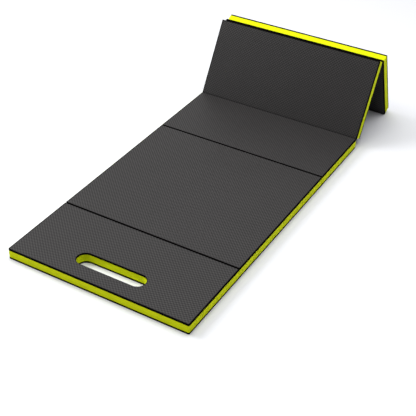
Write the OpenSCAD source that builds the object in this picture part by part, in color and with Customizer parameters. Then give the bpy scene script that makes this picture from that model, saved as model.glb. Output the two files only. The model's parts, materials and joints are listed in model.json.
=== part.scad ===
// Folding kneeling pad: six equal foam panels in an accordion fold.
// Each panel is a thick foam core between two thin skins. At every fold the cores are slit
// right through and one skin, base or top in turn, carries on over the fold as the hinge.
// It stands partly unfolded: four panels lie flat and the last two make a tent.
// X runs across the pad, Y along it away from the hand slot, and Z is up. Millimetres.

/* [Pad] */
// Width of the pad, across its panels
pad_width = 540; // [400:10:700]
// Length of one panel, from fold line to fold line
panel_pitch = 240; // [200:5:320]
// Thickness of the pad, with both skins
pad_thick = 32; // [20:1:34]
// Thickness of each skin
skin_thick = 5.5; // [2:0.5:6]
// Radius of the four corners of the unfolded pad, seen from above
corner_radius = 4; // [2:0.5:12]

/* [Folds] */
// Width of the slit between two panels that lie flat
slit_width = 2; // [1:0.25:3]
// Radius of a panel's corners at a slit, seen from above
slit_corner_radius = 1.5; // [0.5:0.25:3]
// How far the stretch of skin that bends reaches to each side of its fold line
fold_reach = 7; // [5:0.5:10]
// Space left between two panels that are folded face to face
fold_gap = 1; // [0.5:0.25:2]
// How far the fifth panel is lifted from the floor, in degrees
lift_angle = 60; // [40:1:62]

/* [Hand slot] */
// Length of the hand slot, end to end
slot_length = 204; // [120:2:240]
// Width of the hand slot
slot_width = 46; // [30:1:60]
// From the edge of the pad to the near side of the slot
slot_inset = 48; // [30:1:70]

/* [Hidden] */
$fn = 96;
panels = 6;
core_colour = "#bcc800";
skin_colour = "#4a4a4d";
fold_colour = "#343437";

// The skin that bends over each fold, from the first fold to the last
bending_skin = ["base", "top", "base", "top", "base"];

// Where a panel's cut ends are, along it from its first fold line
panel_from = slit_width / 2;
panel_to = panel_pitch - slit_width / 2;

// Room left round a strip, and the number of flats that its bend is made of
glue_gap = 0.05;
bend_steps = 16;

// The fifth panel is lifted, and the sixth comes down until its free edge meets the floor
peak_height = axis_level(4) * (1 - cos(lift_angle)) + panel_pitch * sin(lift_angle)
    + axis_level(5) * cos(lift_angle);
drop_angle = asin(min(1, peak_height / norm([panel_to, fold_gap / 2])))
    + atan(fold_gap / 2 / panel_to);
tilts = [0, 0, 0, 0, lift_angle, -drop_angle];

// The middle of the length that the pad covers at rest, from its first fold line
covered_to = (panel_start(panels) + turned([panel_to, pad_thick], tilts[panels - 1]))[0];
middle = (panel_from + covered_to) / 2;

// A point (y, z) turned about X
function turned(p, tilt) =
    [p[0] * cos(tilt) - p[1] * sin(tilt), p[0] * sin(tilt) + p[1] * cos(tilt)];

// Level of fold k's axis above a panel's underside: just outside the skin that bends
function axis_level(k) =
    bending_skin[k - 1] == "top" ? pad_thick + fold_gap / 2 : -fold_gap / 2;

// Where fold k's axis is, as (y, z)
function fold_axis(k) = panel_start(k) + turned([panel_pitch, axis_level(k)], tilts[k - 1]);

// Where panel k's own frame starts, as (y, z): its first fold line, on its underside
function panel_start(k) =
    k == 1 ? [0, 0] : fold_axis(k - 1) - turned([0, axis_level(k - 1)], tilts[k - 1]);

// Whether this skin carries on over fold k, and whether there is a fold k at all
function bends(k, side) = is_fold(k) && bending_skin[k - 1] == side;
function is_fold(k) = k >= 1 && k < panels;

// Radius of the corners that a panel is cut to at fold k, or at the pad's own end
function corner_at(k) = is_fold(k) ? slit_corner_radius : corner_radius;

// Lays what is drawn flat in panel k's own frame into the panel's place
module on_panel(k) {
    start = panel_start(k);
    translate([0, start[0] - middle, start[1]])
        rotate([tilts[k - 1], 0, 0])
            children();
}

// A panel's outline between two places along it, with a corner radius at each end,
// or square corners where that is 0
module outline(from, to, first_radius, last_radius) {
    translate([-pad_width / 2, from + first_radius])
        square([pad_width, to - last_radius - from - first_radius]);
    if (first_radius > 0) round_end(from + first_radius, from, first_radius);
    if (last_radius > 0) round_end(to - last_radius, to - last_radius, last_radius);
}

// The last strip of an outline, with its two corner circles at v = centre
module round_end(centre, low, radius) {
    across = pad_width - 2 * radius;
    translate([-across / 2, low])
        square([across, radius]);
    for (side = [-1, 1])
        translate([side * across / 2, centre])
            circle(r = radius);
}

// The hand slot, a long hole with round ends
module slot_outline() {
    straight = slot_length - slot_width;
    translate([0, slot_inset + slot_width / 2]) {
        square([straight, slot_width], center = true);
        for (side = [-1, 1])
            translate([side * straight / 2, 0])
                circle(d = slot_width);
    }
}

// One layer of panel k, between two levels above its underside
module layer(k, low, high) {
    translate([0, 0, low])
        linear_extrude(high - low)
            difference() {
                children();
                if (k == 1) slot_outline();
            }
}

// The thick middle layer of panel k
module panel_core(k) {
    color(core_colour)
        on_panel(k)
            layer(k, skin_thick, pad_thick - skin_thick)
                outline(panel_from, panel_to, corner_at(k - 1), corner_at(k));
}

// One skin of panel k. The stretch that bends at a fold is left to the fold's strip
module panel_skin(k, side) {
    low = side == "top" ? pad_thick - skin_thick : 0;
    first = bends(k - 1, side);
    last = bends(k, side);
    color(skin_colour)
        on_panel(k)
            layer(k, low, low + skin_thick)
                outline(first ? fold_reach : panel_from,
                    last ? panel_pitch - fold_reach : panel_to,
                    first ? 0 : corner_at(k - 1),
                    last ? 0 : corner_at(k));
}

// The stretch of skin that bends at fold k: flat on each panel, and round the fold's
// axis between them
module fold_strip(k) {
    way = bending_skin[k - 1] == "top" ? -1 : 1;
    near = way * fold_gap / 2;
    far = near + way * (skin_thick - glue_gap);
    flat = fold_reach - glue_gap;
    bend = bend_tilts(k);
    profile = concat(
        [strip_point(k, near, -flat, tilts[k - 1])],
        [for (tilt = bend) strip_point(k, near, 0, tilt)],
        [strip_point(k, near, flat, tilts[k]), strip_point(k, far, flat, tilts[k])],
        [for (i = [len(bend) - 1:-1:0]) strip_point(k, far, 0, bend[i])],
        [strip_point(k, far, -flat, tilts[k - 1])]
    );
    color(fold_colour)
        translate([-pad_width / 2, -middle, 0])
            rotate([90, 0, 90])
                linear_extrude(pad_width)
                    polygon(profile);
}

// A point (y, z) of fold k's strip: off its axis by level, and along the tilted skin
function strip_point(k, level, along, tilt) = fold_axis(k) + turned([along, level], tilt);

// The tilts that the strip passes through as it bends at fold k
function bend_tilts(k) = tilts[k] == tilts[k - 1] ? [] :
    [for (i = [0:bend_steps]) tilts[k - 1] + (tilts[k] - tilts[k - 1]) * i / bend_steps];

for (k = [1:panels]) {
    panel_core(k);
    panel_skin(k, "top");
    panel_skin(k, "base");
}
for (k = [1:panels - 1])
    fold_strip(k);
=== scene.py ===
import bpy
import json
import math
import numpy as np
from mathutils import Matrix, Vector
from mathutils.geometry import delaunay_2d_cdt, tessellate_polygon


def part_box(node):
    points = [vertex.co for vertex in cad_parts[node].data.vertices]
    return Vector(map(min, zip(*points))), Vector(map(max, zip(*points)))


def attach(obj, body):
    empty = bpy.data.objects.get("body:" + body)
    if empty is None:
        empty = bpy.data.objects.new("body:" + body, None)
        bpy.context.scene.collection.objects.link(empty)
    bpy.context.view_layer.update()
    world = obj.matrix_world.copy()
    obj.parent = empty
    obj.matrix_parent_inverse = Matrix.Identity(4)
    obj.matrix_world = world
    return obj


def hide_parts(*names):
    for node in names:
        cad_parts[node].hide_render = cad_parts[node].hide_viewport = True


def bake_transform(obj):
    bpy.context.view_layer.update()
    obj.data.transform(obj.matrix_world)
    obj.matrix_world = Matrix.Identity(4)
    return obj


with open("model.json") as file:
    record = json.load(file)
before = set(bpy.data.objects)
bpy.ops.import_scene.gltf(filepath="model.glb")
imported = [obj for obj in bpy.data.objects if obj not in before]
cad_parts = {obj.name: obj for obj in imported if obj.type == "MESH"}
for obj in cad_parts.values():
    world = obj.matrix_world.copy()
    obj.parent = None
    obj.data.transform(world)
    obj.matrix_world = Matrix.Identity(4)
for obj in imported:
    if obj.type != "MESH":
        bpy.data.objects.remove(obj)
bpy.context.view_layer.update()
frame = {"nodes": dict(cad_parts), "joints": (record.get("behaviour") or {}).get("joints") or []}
print("frame loaded:", len(frame["nodes"]), "nodes")


def nodeBox(node):  # lowest and highest corner of a CAD node, in millimetres
    low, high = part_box(node)
    return np.round(np.array(low) * 1000, 3), np.round(np.array(high) * 1000, 3)


def turned(along, up, tilt):  # a point of the side view, turned about the width axis
    return np.array([along * math.cos(tilt) - up * math.sin(tilt),
                     along * math.sin(tilt) + up * math.cos(tilt)])


coreBox, topBox, baseBox = [nodeBox("panel_1_" + layer) for layer in ("core", "top_skin", "base_skin")]
folds = sorted(frame["joints"], key=lambda joint: joint["name"])
foldAxis = [np.array(joint["pos_m"])[1:] * 1000 for joint in folds]
foldTurn = [-math.radians(joint["range_deg"][0]) * joint["axis"][0] for joint in folds]  # from flat

pad = {
    "panels": len(folds) + 1,
    "width": coreBox[1][0] - coreBox[0][0],
    "thick": topBox[1][2],
    "skin": baseBox[1][2],
    "pitch": foldAxis[1][0] - foldAxis[0][0],
    "slit": 2 * (foldAxis[0][0] - coreBox[1][1]),
    "reach": foldAxis[0][0] - baseBox[1][1],  # a fold's strip goes this far to each side of it
    "endCorner": 4.0,      # radius of the unfolded pad's four corners
    "slitCorner": 1.5,     # radius of a panel's corners at a slit
}
halfWidth = pad["width"] / 2
bendSide = ["base", "top"] * 3  # the skin that carries on over each fold
axisLevel = {"base": foldAxis[0][1], "top": foldAxis[1][1]}

panelTilt = [0.0]
for turn in foldTurn:
    panelTilt.append(panelTilt[-1] + turn)
panelStart = [foldAxis[0] - turned(pad["pitch"], axisLevel["base"], 0)]
for k in range(1, pad["panels"]):
    panelStart.append(foldAxis[k - 1] - turned(0, axisLevel[bendSide[k - 1]], panelTilt[k]))


def onPanel(k, across, along, up):
    # panel k's own frame to the row frame: x stays, the side view turns and moves with the panel
    side = turned(along, up, panelTilt[k - 1])
    start = panelStart[k - 1]
    return np.stack([across, side[0] + start[0], side[1] + start[1]], axis=-1)


def panelEnds(k, layer):
    # where this layer of panel k starts and stops, and whether it is cut there or carries on
    firstCut = k == 1 or bendSide[k - 2] != layer
    lastCut = k == pad["panels"] or bendSide[k - 1] != layer
    low = pad["slit"] / 2 if firstCut else pad["reach"]
    high = pad["pitch"] - (pad["slit"] / 2 if lastCut else pad["reach"])
    return low, high, firstCut, lastCut


def cornerRadii(k, firstCut, lastCut):
    first = pad["endCorner"] if k == 1 else pad["slitCorner"]
    last = pad["endCorner"] if k == pad["panels"] else pad["slitCorner"]
    return first * firstCut, last * lastCut


def toLinear(hexColour):  # an sRGB hex colour as the shader's linear one
    srgb = np.array([int(hexColour[i:i + 2], 16) for i in (1, 3, 5)]) / 255
    linear = np.where(srgb <= 0.04045, srgb / 12.92, ((srgb + 0.055) / 1.055) ** 2.4)
    return (*[float(c) for c in linear], 1.0)


def addNode(tree, kind, inputs=None, **settings):  # a node with its settings, values and links
    node = tree.nodes.new(kind)
    for name, value in settings.items():
        setattr(node, name, value)
    for socket, value in (inputs or {}).items():
        if isinstance(value, bpy.types.NodeSocket):
            tree.links.new(value, node.inputs[socket])
        else:
            node.inputs[socket].default_value = value
    return node


def newMaterial(name):
    material = bpy.data.materials.new(name)
    material.use_nodes = True
    material.node_tree.nodes.clear()
    return material, material.node_tree


skinFinish = {
    # the groove colour is painted shade in the grip's grooves, and the cut colour is painted shade along
    # cut edges and in fold creases
    "ridge": "#2a2727", "groove": "#0b0a0a", "cut": "#020202",
    "mottle": 0.12,          # share that the colour varies over a panel
    "roughness": 0.38, "grooveRoughness": 0.75, "cutRoughness": 1.0,
    "sharpen": (0.25, 0.85), # raised share where the painted shade of the grooves ends and the ridge's colour starts
    "cloudScale": 9.0, "fleckScale": 420.0,    # the two sizes of mottle, turns in a metre
    "grainSize": 0.6,        # mm, moulded grain; drawn twice as coarse as real so that it shows
    "grainDepth": 0.05,      # mm
}
edgeFinish = {
    # the face colour is darker than the pressed skin partly as painted shade, and the pit colour is
    # painted shade in opened cells
    "face": "#070606", "pit": "#010101",
    "cellSize": 0.9,         # mm, as in the core
    "cellDepth": 0.05,       # mm
    "cloudScale": 60.0,
}
coreFinish = {
    # the pit colour is painted shade inside the opened cells
    "face": "#d3dd00", "pit": "#b0b900",
    "cellSize": 0.9,         # mm, closed cells cut open; drawn coarser than the real 0.4 mm
    "cellDepth": 0.07,       # mm
    "roughness": 0.8,
    "cloudScale": 22.0, "mottle": 0.05,
    "bleed": 0.006,          # m that light spreads inside the foam
}


def embossedFoamSkin():
    # closed-cell EVA foam skin, hot-embossed: near black, dull satin on the raised diamonds
    # and duller in the grooves between them, with a faint moulded grain; painted shade darkens
    # the grooves, and painted shade makes cut edges and fold creases near black
    material, tree = newMaterial("embossed_eva_foam_skin")
    place = addNode(tree, "ShaderNodeTexCoord").outputs["Object"]
    # painted shade along cut edges and in fold creases, in a share that also marks the cut walls
    height = addNode(tree, "ShaderNodeAttribute", attribute_name="raised").outputs["Fac"]
    cut = addNode(tree, "ShaderNodeAttribute", attribute_name="cut").outputs["Fac"]
    raised = addNode(tree, "ShaderNodeMapRange",
                     {"Value": height, "From Min": skinFinish["sharpen"][0],
                      "From Max": skinFinish["sharpen"][1]},
                     interpolation_type="SMOOTHSTEP").outputs["Result"]
    cloud = addNode(tree, "ShaderNodeTexNoise", {"Vector": place, "Scale": skinFinish["cloudScale"],
                                                  "Detail": 3.0})
    fleck = addNode(tree, "ShaderNodeTexNoise", {"Vector": place, "Scale": skinFinish["fleckScale"],
                                                  "Detail": 1.0})
    both = addNode(tree, "ShaderNodeMath", {0: cloud.outputs["Fac"], 1: fleck.outputs["Fac"]},
                   operation="ADD")
    shade = addNode(tree, "ShaderNodeMapRange",
                    {"Value": both.outputs[0], "From Min": 0.6, "From Max": 1.4,
                     "To Min": 1 - skinFinish["mottle"], "To Max": 1 + skinFinish["mottle"]})
    # a Mix node's colours are its inputs 6 and 7, and its mixed colour is its output 2
    # painted shade: the grooves take the darker colour
    colour = addNode(tree, "ShaderNodeMix", {0: raised, 6: toLinear(skinFinish["groove"]),
                                             7: toLinear(skinFinish["ridge"])}, data_type="RGBA")
    tone = addNode(tree, "ShaderNodeVectorMath",
                   {0: colour.outputs[2], "Scale": shade.outputs["Result"]}, operation="SCALE")
    # painted shade: near black towards cut edges and in creases
    tint = addNode(tree, "ShaderNodeMix", {0: cut, 6: tone.outputs[0], 7: toLinear(skinFinish["cut"])},
                   data_type="RGBA")
    dull = addNode(tree, "ShaderNodeMapRange",
                   {"Value": raised, "To Min": skinFinish["grooveRoughness"],
                    "To Max": skinFinish["roughness"]})
    rough = addNode(tree, "ShaderNodeMapRange",
                    {"Value": cut, "To Min": dull.outputs["Result"],
                     "To Max": skinFinish["cutRoughness"]})
    grain = addNode(tree, "ShaderNodeTexNoise",
                    {"Vector": place, "Scale": 1000 / skinFinish["grainSize"], "Detail": 2.0})
    bump = addNode(tree, "ShaderNodeBump", {"Height": grain.outputs["Fac"], "Strength": 0.5,
                                            "Distance": skinFinish["grainDepth"] / 1000})
    shader = addNode(tree, "ShaderNodeBsdfPrincipled",
                     {"Base Color": tint.outputs[2], "Roughness": rough.outputs["Result"],
                      "Normal": bump.outputs["Normal"], "IOR": 1.49,
                      "Specular IOR Level": 0.4})
    addNode(tree, "ShaderNodeOutputMaterial", {"Surface": shader.outputs[0]})
    return material


def cutFoamEdge():
    # the same black foam where the knife went through it, with no sheen; it is drawn darker than
    # the pressed face partly as painted shade, for the dark lines of the slits and of the floor contact
    material, tree = newMaterial("cut_eva_foam_skin_edge")
    place = addNode(tree, "ShaderNodeTexCoord").outputs["Object"]
    cell = addNode(tree, "ShaderNodeTexVoronoi",
                   {"Vector": place, "Scale": 1000 / edgeFinish["cellSize"], "Randomness": 1.0})
    cloud = addNode(tree, "ShaderNodeTexNoise", {"Vector": place, "Scale": edgeFinish["cloudScale"],
                                                  "Detail": 3.0})
    mixed = addNode(tree, "ShaderNodeMath", {0: cell.outputs["Distance"], 1: cloud.outputs["Fac"]},
                    operation="MULTIPLY")
    opened = addNode(tree, "ShaderNodeMapRange",
                     {"Value": mixed.outputs[0], "From Min": 0.05, "From Max": 0.4})
    # painted shade: the opened cells' pits take the darker colour
    colour = addNode(tree, "ShaderNodeMix", {0: opened.outputs["Result"], 6: toLinear(edgeFinish["pit"]),
                                             7: toLinear(edgeFinish["face"])}, data_type="RGBA")
    bump = addNode(tree, "ShaderNodeBump", {"Height": opened.outputs["Result"], "Strength": 0.5,
                                            "Distance": edgeFinish["cellDepth"] / 1000})
    shader = addNode(tree, "ShaderNodeBsdfPrincipled",
                     {"Base Color": colour.outputs[2], "Roughness": 1.0,
                      "Normal": bump.outputs["Normal"], "IOR": 1.49, "Specular IOR Level": 0.03})
    addNode(tree, "ShaderNodeOutputMaterial", {"Surface": shader.outputs[0]})
    return material


def cutFoamCore():
    # closed-cell EVA foam, knife-cut: bright yellow-green, matt, with fine opened cells that
    # are painted slightly darker as painted shade in the pits, a stipple
    material, tree = newMaterial("cut_eva_foam_core")
    place = addNode(tree, "ShaderNodeTexCoord").outputs["Object"]
    cell = addNode(tree, "ShaderNodeTexVoronoi",
                   {"Vector": place, "Scale": 1000 / coreFinish["cellSize"], "Randomness": 1.0})
    opened = addNode(tree, "ShaderNodeMapRange",
                    {"Value": cell.outputs["Distance"], "From Min": 0.05, "From Max": 0.5})
    cloud = addNode(tree, "ShaderNodeTexNoise", {"Vector": place, "Scale": coreFinish["cloudScale"],
                                                  "Detail": 4.0})
    shade = addNode(tree, "ShaderNodeMapRange",
                    {"Value": cloud.outputs["Fac"], "From Min": 0.3, "From Max": 0.7,
                     "To Min": 1 - coreFinish["mottle"], "To Max": 1 + coreFinish["mottle"]})
    # painted shade: the opened cells' pits take the darker colour
    colour = addNode(tree, "ShaderNodeMix", {0: opened.outputs["Result"], 6: toLinear(coreFinish["pit"]),
                                             7: toLinear(coreFinish["face"])}, data_type="RGBA")
    tint = addNode(tree, "ShaderNodeVectorMath",
                   {0: colour.outputs[2], "Scale": shade.outputs["Result"]}, operation="SCALE")
    bump = addNode(tree, "ShaderNodeBump", {"Height": opened.outputs["Result"], "Strength": 0.6,
                                            "Distance": coreFinish["cellDepth"] / 1000})
    shader = addNode(tree, "ShaderNodeBsdfPrincipled",
                     {"Base Color": tint.outputs[0], "Roughness": coreFinish["roughness"],
                      "Normal": bump.outputs["Normal"], "IOR": 1.48, "Specular IOR Level": 0.12,
                      "Subsurface Weight": 0.35, "Subsurface Radius": (1.0, 0.9, 0.25),
                      "Subsurface Scale": coreFinish["bleed"]})
    addNode(tree, "ShaderNodeOutputMaterial", {"Surface": shader.outputs[0]})
    return material


skinMaterials = [embossedFoamSkin(), cutFoamEdge()]
coreMaterials = [cutFoamCore()]
print("materials ready")


def signedVolume(points, faces):  # positive when the faces of a closed mesh point outwards
    total = 0.0
    for corners in faces:
        first = points[corners[:, 0]]
        for i in range(1, corners.shape[1] - 1):
            total += np.sum(first * np.cross(points[corners[:, i]], points[corners[:, i + 1]]))
    return total / 6


def makePiece(name, points, faces, materials, shares=None, sharpAngle=40, cutFrom=0.75):
    # points in millimetres in the row frame; faces as arrays of corner indices; a second
    # material goes on the faces whose mean share of cut edge and painted shade is over cutFrom
    used = np.zeros(len(points), bool)
    for corners in faces:
        used[corners.ravel()] = True
    renumber = np.cumsum(used) - 1
    points = points[used]
    faces = [renumber[corners] for corners in faces]
    if signedVolume(points - points.mean(0), faces) < 0:
        faces = [corners[:, ::-1] for corners in faces]
    loops = np.concatenate([corners.ravel() for corners in faces])
    counts = np.concatenate([np.full(len(corners), corners.shape[1]) for corners in faces])
    starts = np.cumsum(counts) - counts
    mesh = bpy.data.meshes.new(name)
    mesh.vertices.add(len(points))
    mesh.vertices.foreach_set("co", (points / 1000).astype(np.float32).ravel())
    mesh.loops.add(len(loops))
    mesh.loops.foreach_set("vertex_index", loops.astype(np.int32))
    mesh.polygons.add(len(starts))
    mesh.polygons.foreach_set("loop_start", starts.astype(np.int32))
    if len(materials) > 1:
        cut = np.add.reduceat(shares["cut"][used][loops], starts) / counts > cutFrom
        mesh.polygons.foreach_set("material_index", cut.astype(np.int32))
    mesh.update(calc_edges=True)
    mesh.validate()
    mesh.polygons.foreach_set("use_smooth", np.ones(len(mesh.polygons), bool))
    mesh.set_sharp_from_angle(angle=math.radians(sharpAngle))
    for attribute, values in (shares or {}).items():
        layer = mesh.attributes.new(attribute, "FLOAT", "POINT")
        layer.data.foreach_set("value", values[used].astype(np.float32))
    for material in materials:
        mesh.materials.append(material)
    piece = bpy.data.objects.new(name, mesh)
    bpy.context.scene.collection.objects.link(piece)
    return piece


def ringQuads(upper, lower):  # quads between two closed loops with as many points
    return np.stack([upper, lower, np.roll(lower, -1), np.roll(upper, -1)], axis=-1)


def capFaces(points2d, loops):
    # the flat face inside the first loop and outside the others: one polygon, or triangles
    # where there is a hole
    if len(loops) == 1:
        return loops[0][None, ::-1]
    flat = np.concatenate(loops)
    outlines = [[Vector((*points2d[i], 0)) for i in loop] for loop in loops]
    triangles = flat[np.array(tessellate_polygon(outlines))]
    a, b, c = (points2d[triangles[:, i]] for i in range(3))
    turn = (b[:, 0] - a[:, 0]) * (c[:, 1] - a[:, 1]) - (b[:, 1] - a[:, 1]) * (c[:, 0] - a[:, 0])
    return np.where((turn > 0)[:, None], triangles[:, ::-1], triangles)


def roundCorners(across, along, low, high, firstRadius, lastRadius):
    # a square corner's points drawn in to a circle: each keeps the larger of its two distances
    # from the circle's middle as its distance from it
    across, along = across.copy(), along.copy()
    for radius, edge, way in ((firstRadius, low, -1), (lastRadius, high, 1)):
        if radius > 0:
            a = np.abs(across) - (halfWidth - radius)
            b = way * (along - edge) + radius
            at = (a > 0) & (b > 0)
            share = np.maximum(a, b)[at] / np.hypot(a, b)[at]
            across[at] = np.sign(across[at]) * (halfWidth - radius + a[at] * share)
            along[at] = edge + way * (b[at] * share - radius)
    return across, along


# the grip pressed into the skins
grip = {
    "repeat": pad["pitch"] / 26,       # 9.23 mm both ways: raised diamonds 6.5 mm apart
    "depth": 0.75,                     # mm from the raised diamonds down to the grooves
    "step": pad["pitch"] / 26 / 6,     # mm between a surface's lines, six to a repeat
    "edgeRadius": 0.9,    # mm, how far a cut edge rolls over
    "edgeLines": (0.0, 0.08, 0.27, 0.55, 0.9),  # mm from a cut edge
    "fadeReach": 3.5,     # mm from a cut edge over which the grip flattens to its middle level
    "wallShares": (0.3, 0.65, 1.0),    # how far down a skin's wall its rings lie
    "lineRoom": 0.5,      # mm kept between an edge's close lines and the even ones
    "ringRoom": 0.8,      # mm kept between the slot's outermost ring and the even cells
    "ringSlack": 0.1,     # mm past that ring where a joining triangle's middle has to be
    "cutReach": 3.4,      # mm from a cut edge over which the skin is painted darker as painted shade
}


def raisedShare(across, alongPad):
    # 1 on a raised diamond and 0 in a groove: half of one less the product of two cosines,
    # which repeats along both diagonals
    turnPerMm = 2 * math.pi / grip["repeat"]
    return (1 + np.cos(turnPerMm * across) * np.cos(turnPerMm * alongPad)) / 2


def edgeRoll(distance):
    # how far the surface drops at this distance from a cut edge: a quarter circle
    radius = grip["edgeRadius"]
    inside = np.clip(distance, 0, radius)
    return radius - np.sqrt(radius ** 2 - (radius - inside) ** 2)


def fadedShare(raised, distance):  # the grip's share, drawn to one half towards a cut edge
    share = np.clip(distance / grip["fadeReach"], 0, 1)
    return 0.5 + (raised - 0.5) * share ** 2 * (3 - 2 * share)


def edgeShadeShare(distance):  # 1 at a cut edge and 0 past the stretch of painted shade along it
    share = np.clip(distance / grip["cutReach"], 0, 1)
    return 1 - share ** 4


def surfaceLines(low, high, firstCut, lastCut):
    # the grip's even lines, with closer ones where a cut edge rolls over
    edges = np.array(grip["edgeLines"])
    head = low + (edges if firstCut else edges[:1])
    tail = high - (edges if lastCut else edges[:1])[::-1]
    step = grip["step"]
    inner = np.arange(math.ceil((head[-1] + grip["lineRoom"]) / step),
                      math.floor((tail[0] - grip["lineRoom"]) / step) + 1)
    return np.concatenate([head, inner * step, tail])


def gridLoop(rows, columns):  # indices round a grid's edge, anticlockwise
    index = np.arange(rows * columns).reshape(rows, columns)
    return np.concatenate([index[0], index[1:, -1], index[-1, -2::-1], index[-2:0:-1, 0]])


def gridQuads(rows, columns, keep=None):
    index = np.arange(rows * columns).reshape(rows, columns)
    quads = np.stack([index[:-1, :-1], index[:-1, 1:], index[1:, 1:], index[1:, :-1]], axis=-1)
    return quads.reshape(-1, 4) if keep is None else quads[keep]


# the hand slot through the first panel
slot = {
    "length": 204.0, "width": 46.0,
    "inset": 48.0,          # mm from the pad's edge line to the slot's near side
    "straightSteps": 98, "roundSteps": 46,
}
slotMiddle = slot["inset"] + slot["width"] / 2
slotStraight = (slot["length"] - slot["width"]) / 2


def slotDistance(across, along):  # from the slot's edge, and less than nothing inside it
    return np.hypot(np.maximum(np.abs(across) - slotStraight, 0), along - slotMiddle) - slot["width"] / 2


def slotRing(offset):
    # the slot's outline moved out by offset, clockwise: two straights and two half circles
    radius = slot["width"] / 2 + offset
    run = np.arange(slot["straightSteps"]) / slot["straightSteps"]
    sweep = np.arange(slot["roundSteps"]) / slot["roundSteps"] * math.pi
    across = np.concatenate([slotStraight * (2 * run - 1), slotStraight + radius * np.sin(sweep),
                             slotStraight * (1 - 2 * run), -slotStraight - radius * np.sin(sweep)])
    along = np.concatenate([np.full_like(run, -radius), -radius * np.cos(sweep),
                            np.full_like(run, radius), radius * np.cos(sweep)]) + slotMiddle
    return across[::-1], along[::-1]


def slotSurround(across, along, xLines, vLines):
    # the surface's cells that stay clear of the slot, and the triangles that join them to the
    # ring where the slot's edge starts to roll over
    rows, columns = across.shape
    ringAcross, ringAlong = slotRing(grip["edgeRadius"])
    clear = slotDistance(across, along) > grip["edgeRadius"] + grip["ringRoom"]
    keep = clear[:-1, :-1] & clear[:-1, 1:] & clear[1:, 1:] & clear[1:, :-1]
    index = np.arange(rows * columns).reshape(rows, columns)
    level = keep[:-1] != keep[1:]
    upright = keep[:, :-1] != keep[:, 1:]
    ragged = np.concatenate([np.stack([index[1:-1, :-1][level], index[1:-1, 1:][level]], axis=-1),
                             np.stack([index[:-1, 1:-1][upright], index[1:, 1:-1][upright]], axis=-1)])
    corners, edges = np.unique(ragged, return_inverse=True)
    edges = edges.reshape(-1, 2)
    number = np.arange(len(ringAcross))
    flat = np.concatenate([np.stack([across.ravel()[corners], along.ravel()[corners]], axis=-1),
                           np.stack([ringAcross, ringAlong], axis=-1)])
    joined = np.concatenate([edges, len(corners) + np.stack([number, np.roll(number, -1)], axis=-1)])
    result = delaunay_2d_cdt([Vector(p) for p in flat], joined.tolist(), [], 0, 1e-6)
    found = np.array([source[0] for source in result[3]])[np.array(result[2])]
    middle = flat[found].mean(1)
    cell = (np.searchsorted(vLines, middle[:, 1]) - 1, np.searchsorted(xLines, middle[:, 0]) - 1)
    between = ~keep[cell] & (slotDistance(*middle.T) > grip["edgeRadius"] + grip["ringSlack"])
    names = np.concatenate([corners, rows * columns + number])
    triangles = found[between]
    a, b, c = (flat[triangles[:, i]] for i in range(3))
    turn = (b[:, 0] - a[:, 0]) * (c[:, 1] - a[:, 1]) - (b[:, 1] - a[:, 1]) * (c[:, 0] - a[:, 0])
    triangles = np.where((turn < 0)[:, None], triangles[:, ::-1], triangles)
    return keep, names[triangles], (ringAcross, ringAlong)


def makeSkin(k, side):
    # the outer face is a grid over the panel: its level is the pad's face, less the grip's depth
    # where it isn't raised, less the roll of a cut edge; walls go from it down to the core
    low, high, firstCut, lastCut = panelEnds(k, side)
    xLines = surfaceLines(-halfWidth, halfWidth, True, True)
    vLines = surfaceLines(low, high, firstCut, lastCut)
    across, along = np.meshgrid(xLines, vLines)
    edge = halfWidth - np.abs(across)
    if firstCut:
        edge = np.minimum(edge, along - low)
    if lastCut:
        edge = np.minimum(edge, high - along)
    across, along = roundCorners(across, along, low, high, *cornerRadii(k, firstCut, lastCut))
    rows, columns = across.shape
    faces, hole = [], None
    if k == 1:
        keep, triangles, ring = slotSurround(across, along, xLines, vLines)
        faces += [gridQuads(rows, columns, keep), triangles]
        offsets = grip["edgeLines"][::-1]
        rings = [slotRing(offset) for offset in offsets]
        across = np.concatenate([across.ravel()] + [r[0] for r in rings])
        along = np.concatenate([along.ravel()] + [r[1] for r in rings])
        edge = np.concatenate([edge.ravel()] + [np.full(len(r[0]), o) for r, o in zip(rings, offsets)])
        numbers = rows * columns + np.arange(len(rings) * len(ring[0])).reshape(len(rings), -1)
        faces += [ringQuads(numbers[i], numbers[i + 1]) for i in range(len(rings) - 1)]
        hole = numbers[-1]
    else:
        faces.append(gridQuads(rows, columns))
        across, along, edge = across.ravel(), along.ravel(), edge.ravel()
    raised = fadedShare(raisedShare(across, along + (k - 1) * pad["pitch"]), edge)
    # painted shade that darkens the skin towards its cut edges
    cut = edgeShadeShare(edge)
    drop = grip["depth"] * (1 - raised) + edgeRoll(edge)
    rims = [gridLoop(rows, columns)] + ([hole] if k == 1 else [])
    loops = rims
    for share in grip["wallShares"]:  # the walls, ring by ring
        lower = []
        for rim, loop in zip(rims, loops):
            new = len(across) + np.arange(len(loop))
            faces.append(ringQuads(loop, new))
            across, along = np.concatenate([across, across[loop]]), np.concatenate([along, along[loop]])
            drop = np.concatenate([drop, drop[rim] + (pad["skin"] - drop[rim]) * share])
            raised = np.concatenate([raised, np.full(len(loop), 0.5)])
            cut = np.concatenate([cut, np.ones(len(loop))])
            lower.append(new)
        loops = lower
    faces.append(capFaces(np.stack([across, along], axis=-1), loops))
    up = pad["thick"] - drop if side == "top" else drop
    name = f"panel_{k}_{side}_foam"
    piece = makePiece(name, onPanel(k, across, along, up), faces, skinMaterials,
                      {"raised": raised, "cut": cut})
    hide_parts(f"panel_{k}_{side}_skin")
    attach(piece, f"panel_{k}")
    return piece


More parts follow.
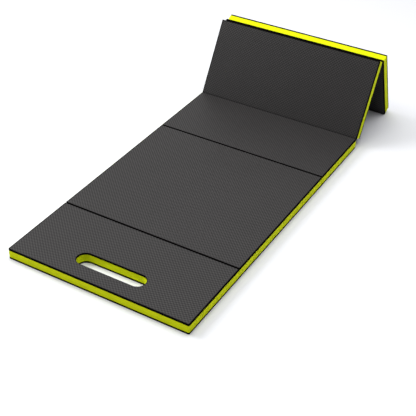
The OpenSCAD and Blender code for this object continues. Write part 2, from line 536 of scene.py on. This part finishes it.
# the knife-cut walls of the cores
coreWall = {
    "rings": 12,
    "crown": 0.12,     # mm that a cut wall stands out at mid height
    "tuck": 0.2,       # mm that it stays behind the skins at their glue lines
    "wander": 0.06,    # mm that the knife wandered
    "waveLengths": (41, 17, 6.5),    # mm walked for each radian of the three waves
    "waveShares": (1, 0.6, 0.4),
    "waveLean": (0, 1, 2.5),         # radians that each wave shifts from mid height to a skin
}


def outlineLoop(k):
    low, high, firstCut, lastCut = panelEnds(k, "core")
    xLines = surfaceLines(-halfWidth, halfWidth, True, True)
    vLines = surfaceLines(low, high, True, True)
    across, along = roundCorners(*np.meshgrid(xLines, vLines), low, high, *cornerRadii(k, 1, 1))
    loop = gridLoop(*across.shape)
    return across.ravel()[loop], along.ravel()[loop]


def cutWall(across, along, seed):
    # a wall over a closed outline: moved out along the outline's normal by a crown at mid height,
    # less a tuck at the skins, plus slow waves that stand for the knife's path
    level = np.linspace(pad["skin"], pad["thick"] - pad["skin"], coreWall["rings"])[::-1]
    height = np.linspace(1, -1, coreWall["rings"])[:, None]
    dx, dv = np.roll(across, -1) - np.roll(across, 1), np.roll(along, -1) - np.roll(along, 1)
    length = np.hypot(dx, dv)
    walked = np.cumsum(length) / 2
    shapes = zip(coreWall["waveLengths"], coreWall["waveShares"], coreWall["waveLean"])
    waves = sum(part * np.sin(walked / mm + (i + 1) * seed + lean * height)
                for i, (mm, part, lean) in enumerate(shapes))
    out = (coreWall["crown"] + coreWall["tuck"]) * (1 - height ** 2) - coreWall["tuck"] \
        + coreWall["wander"] * waves / 2
    return (across + out * dv / length, along - out * dx / length,
            np.repeat(level[:, None], len(across), axis=1))


def makeCore(k):
    walls = [cutWall(*outlineLoop(k), seed=1.7 * k)]
    if k == 1:
        walls.append(cutWall(*slotRing(0.0), seed=0.4))
    parts, faces, tops, bottoms, count = [], [], [], [], 0
    for across, along, up in walls:
        index = count + np.arange(across.size).reshape(across.shape)
        faces += [ringQuads(index[i], index[i + 1]) for i in range(len(index) - 1)]
        tops.append(index[0])
        bottoms.append(index[-1])
        parts.append(np.stack([across, along, up], axis=-1).reshape(-1, 3))
        count += across.size
    local = np.concatenate(parts)
    faces.append(capFaces(local[:, :2], bottoms))
    faces.append(capFaces(local[:, :2], tops)[:, ::-1])
    name = f"panel_{k}_core_foam"
    piece = makePiece(name, onPanel(k, *local.T), faces, coreMaterials)
    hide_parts(f"panel_{k}_core")
    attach(piece, f"panel_{k}")
    return piece


# the strips of skin that bend over the folds
strip = {
    "bendReach": 3.0,     # mm of skin to each side of the fold line that does the bending
    "lines": (0, 0.4, 0.8, 1.2, 1.6, 2.4, 3.2, 4.8, 6.4),  # mm from the fold line
    "creaseWidth": 1.3,   # mm, width of the painted shade along the line where a bent skin is squeezed
    # how dark the painted shade in a crease is
    "creaseDark": 0.9,
}


def makeStrip(k):
    # a section of skin carried across the pad: at each place along the skin it is turned about
    # the fold's axis by a share of the fold's turn, smoothstep of that place's distance along
    # the line between the two skins
    side = bendSide[k - 1]
    way = -1 if side == "top" else 1
    turn = abs(foldTurn[k - 1])
    gap = abs(axisLevel["base"])
    reach = strip["bendReach"] * math.cos(turn / 2) + gap * math.sin(turn / 2)
    chord = np.linspace(-reach, reach, 801)
    share = (chord + reach) / (2 * reach)
    bend = turn * share ** 2 * (3 - 2 * share)
    alongSkin = (chord - gap * np.sin(bend - turn / 2)) / np.cos(bend - turn / 2)
    half = np.array(strip["lines"] + (pad["reach"],))
    places = np.concatenate([-half[:0:-1], half])
    tilt = np.interp(places, alongSkin, bend)
    xLines = surfaceLines(-halfWidth, halfWidth, True, True)
    across, place = np.meshgrid(xLines, places)
    raised = fadedShare(raisedShare(across, place + k * pad["pitch"]), halfWidth - np.abs(across))
    outer = gap + grip["depth"] * (1 - raised) + edgeRoll(halfWidth - np.abs(across))
    inner = np.full_like(outer, gap + pad["skin"])
    rows, columns = across.shape
    depth = np.concatenate([outer, inner[::-1]])
    place = np.concatenate([place, place[::-1]])
    across = np.concatenate([across, across])
    tilts = np.concatenate([tilt, tilt[::-1]])[:, None] * -way + panelTilt[k - 1]
    y = foldAxis[k - 1][0] + place * np.cos(tilts) - way * depth * np.sin(tilts)
    z = foldAxis[k - 1][1] + place * np.sin(tilts) + way * depth * np.cos(tilts)
    points = np.stack([across, y, z], axis=-1).reshape(-1, 3)
    index = np.arange(across.size).reshape(across.shape)
    faces = [np.stack([index[:, :-1], index[:, 1:], np.roll(index, -1, 0)[:, 1:],
                       np.roll(index, -1, 0)[:, :-1]], axis=-1).reshape(-1, 4)]
    for column, order in ((0, 1), (-1, -1)):  # the two ends, each a row of quads
        near, far = index[:rows, column], index[rows:, column][::-1]
        faces.append(np.stack([near[:-1], near[1:], far[1:], far[:-1]], axis=-1)[:, ::order])
    # painted shade in the crease of a bent skin, deeper the further the fold turns
    creaseShade = strip["creaseDark"] * np.exp(-(places / strip["creaseWidth"]) ** 2) * min(turn, 1)
    cut = np.maximum(edgeShadeShare(halfWidth - np.abs(across[:rows])), creaseShade[:, None])
    raised = np.concatenate([raised, np.full_like(raised, 0.4)]).ravel()
    cut = np.concatenate([cut, np.ones_like(cut)]).ravel()
    piece = makePiece(f"fold_{k}_{k + 1}_foam", points, faces, skinMaterials,
                      {"raised": raised, "cut": cut})
    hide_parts(f"fold_{k}_{k + 1}_strip")
    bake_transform(piece)
    return piece


for k in range(1, pad["panels"] + 1):
    makeCore(k)
    makeSkin(k, "top")
    makeSkin(k, "base")
    print("panel", k, "made")
for k in range(1, pad["panels"]):
    makeStrip(k)
print("fold strips made")

# floor, light and camera
studio = {
    "floorHalf": 14.0,      # m
    "floorDrop": 0.0001,    # m below the pad's underside
    "fadeFrom": 1.4, "fadeTo": 3.4,     # m from the middle, where the floor fades into the sky
    "touchReach": 0.002,    # m, light from nearer than this passes through the floor
    "skyBelow": 0.9,        # brightness of the sky under the floor
    "floorColour": "#dbdce0",
    "brightWay": (-0.68, 0.48, 0.55),   # the sky is brightest up behind the pad, to its left
    "skyBright": 1.1, "skyDark": 0.0, "darkFacing": -0.15,
    "keyPower": 72.0, "keySize": 1.6, "keyPlace": (-2.4, -0.6, 2.2),
    "topPower": 95.0, "topSize": 3.0, "topPlace": (0.4, 0.1, 3.2),
}


def makeFloor():
    corners = studio["floorHalf"] * np.array([[-1, -1, 0], [1, -1, 0], [1, 1, 0], [-1, 1, 0]])
    corners[:, 2] = -studio["floorDrop"]
    mesh = bpy.data.meshes.new("floor")
    mesh.from_pydata(corners.tolist(), [], [(0, 1, 2, 3)])
    # matt paper that fades into the white sky far out; it is clear when seen from below, and
    # to light that starts from whatever rests on it, so the underside can be looked at
    material, tree = newMaterial("pale_studio_floor")
    paper = addNode(tree, "ShaderNodeBsdfDiffuse", {"Color": toLinear(studio["floorColour"])})
    clear = addNode(tree, "ShaderNodeBsdfTransparent")
    below = addNode(tree, "ShaderNodeNewGeometry").outputs["Backfacing"]
    place = addNode(tree, "ShaderNodeTexCoord").outputs["Object"]
    away = addNode(tree, "ShaderNodeVectorMath", {0: place}, operation="LENGTH").outputs["Value"]
    fade = addNode(tree, "ShaderNodeMapRange",
                   {"Value": away, "From Min": studio["fadeFrom"], "From Max": studio["fadeTo"]},
                   interpolation_type="SMOOTHSTEP").outputs["Result"]
    ray = addNode(tree, "ShaderNodeLightPath").outputs["Ray Length"]
    touching = addNode(tree, "ShaderNodeMath", {0: ray, 1: studio["touchReach"]}, operation="LESS_THAN")
    outside = addNode(tree, "ShaderNodeMath", {0: below, 1: fade}, operation="MAXIMUM")
    share = addNode(tree, "ShaderNodeMath", {0: outside.outputs[0], 1: touching.outputs[0]},
                    operation="MAXIMUM")
    either = addNode(tree, "ShaderNodeMixShader",
                     {0: share.outputs[0], 1: paper.outputs[0], 2: clear.outputs[0]})
    addNode(tree, "ShaderNodeOutputMaterial", {"Surface": either.outputs[0]})
    mesh.materials.append(material)
    floor = bpy.data.objects.new("floor", mesh)
    bpy.context.scene.collection.objects.link(floor)


def makeSky():
    world = bpy.data.worlds.new("studio")
    world.use_nodes = True
    tree = world.node_tree
    tree.nodes.clear()
    direction = addNode(tree, "ShaderNodeTexCoord").outputs["Generated"]
    facing = addNode(tree, "ShaderNodeVectorMath", {0: direction, 1: studio["brightWay"]},
                     operation="DOT_PRODUCT").outputs["Value"]
    level = addNode(tree, "ShaderNodeMapRange",
                    {"Value": facing, "From Min": studio["darkFacing"], "From Max": 1.0,
                     "To Min": studio["skyDark"], "To Max": studio["skyBright"]})
    upward = addNode(tree, "ShaderNodeSeparateXYZ", {0: direction}).outputs["Z"]
    under = addNode(tree, "ShaderNodeMath", {0: upward, 1: 0.0}, operation="LESS_THAN").outputs[0]
    lower = addNode(tree, "ShaderNodeMath", {0: under, 1: studio["skyBelow"]}, operation="MULTIPLY")
    around = addNode(tree, "ShaderNodeMath", {0: level.outputs["Result"], 1: lower.outputs[0]},
                     operation="MAXIMUM")
    seen = addNode(tree, "ShaderNodeLightPath").outputs["Is Camera Ray"]
    strength = addNode(tree, "ShaderNodeMath", {0: around.outputs[0], 1: seen}, operation="MAXIMUM")
    glow = addNode(tree, "ShaderNodeBackground", {"Color": (1, 1, 1, 1), "Strength": strength.outputs[0]})
    addNode(tree, "ShaderNodeOutputWorld", {"Surface": glow.outputs[0]})
    bpy.context.scene.world = world


def makeLamp(name, place, size, power, aim=(0, 0, 0)):
    light = bpy.data.lights.new(name, "AREA")
    light.shape, light.size, light.energy = "SQUARE", size, power
    lamp = bpy.data.objects.new(name, light)
    lamp.location = place
    lamp.rotation_euler = (Vector(aim) - Vector(place)).to_track_quat("-Z", "Y").to_euler()
    bpy.context.scene.collection.objects.link(lamp)


def makeCamera():
    view = {"azimuth": 30.05, "elevation": 35.91, "roll": 1.10, "distance": 2.660,
            "target": (0.0497, -0.1535, 0.0), "lens": 83.61}
    azimuth, elevation, roll = (math.radians(view[a]) for a in ("azimuth", "elevation", "roll"))
    back = Vector((math.sin(azimuth) * math.cos(elevation), -math.cos(azimuth) * math.cos(elevation),
                   math.sin(elevation)))
    right = Vector((0, 0, 1)).cross(back).normalized()
    above = back.cross(right)
    level = Matrix((right * math.cos(roll) + above * math.sin(roll),
                    -right * math.sin(roll) + above * math.cos(roll), back)).transposed()
    camera = bpy.data.objects.new("camera", bpy.data.cameras.new("camera"))
    camera.data.lens, camera.data.sensor_width = view["lens"], 36.0
    camera.matrix_world = Matrix.Translation(Vector(view["target"]) + back * view["distance"]) \
        @ level.to_4x4()
    bpy.context.scene.collection.objects.link(camera)
    bpy.context.scene.camera = camera


makeFloor()
makeSky()
makeLamp("key", studio["keyPlace"], studio["keySize"], studio["keyPower"])
makeLamp("overhead", studio["topPlace"], studio["topSize"], studio["topPower"])
makeCamera()
bpy.context.scene.view_settings.view_transform = "Standard"
print("studio ready")

bpy.context.view_layer.update()
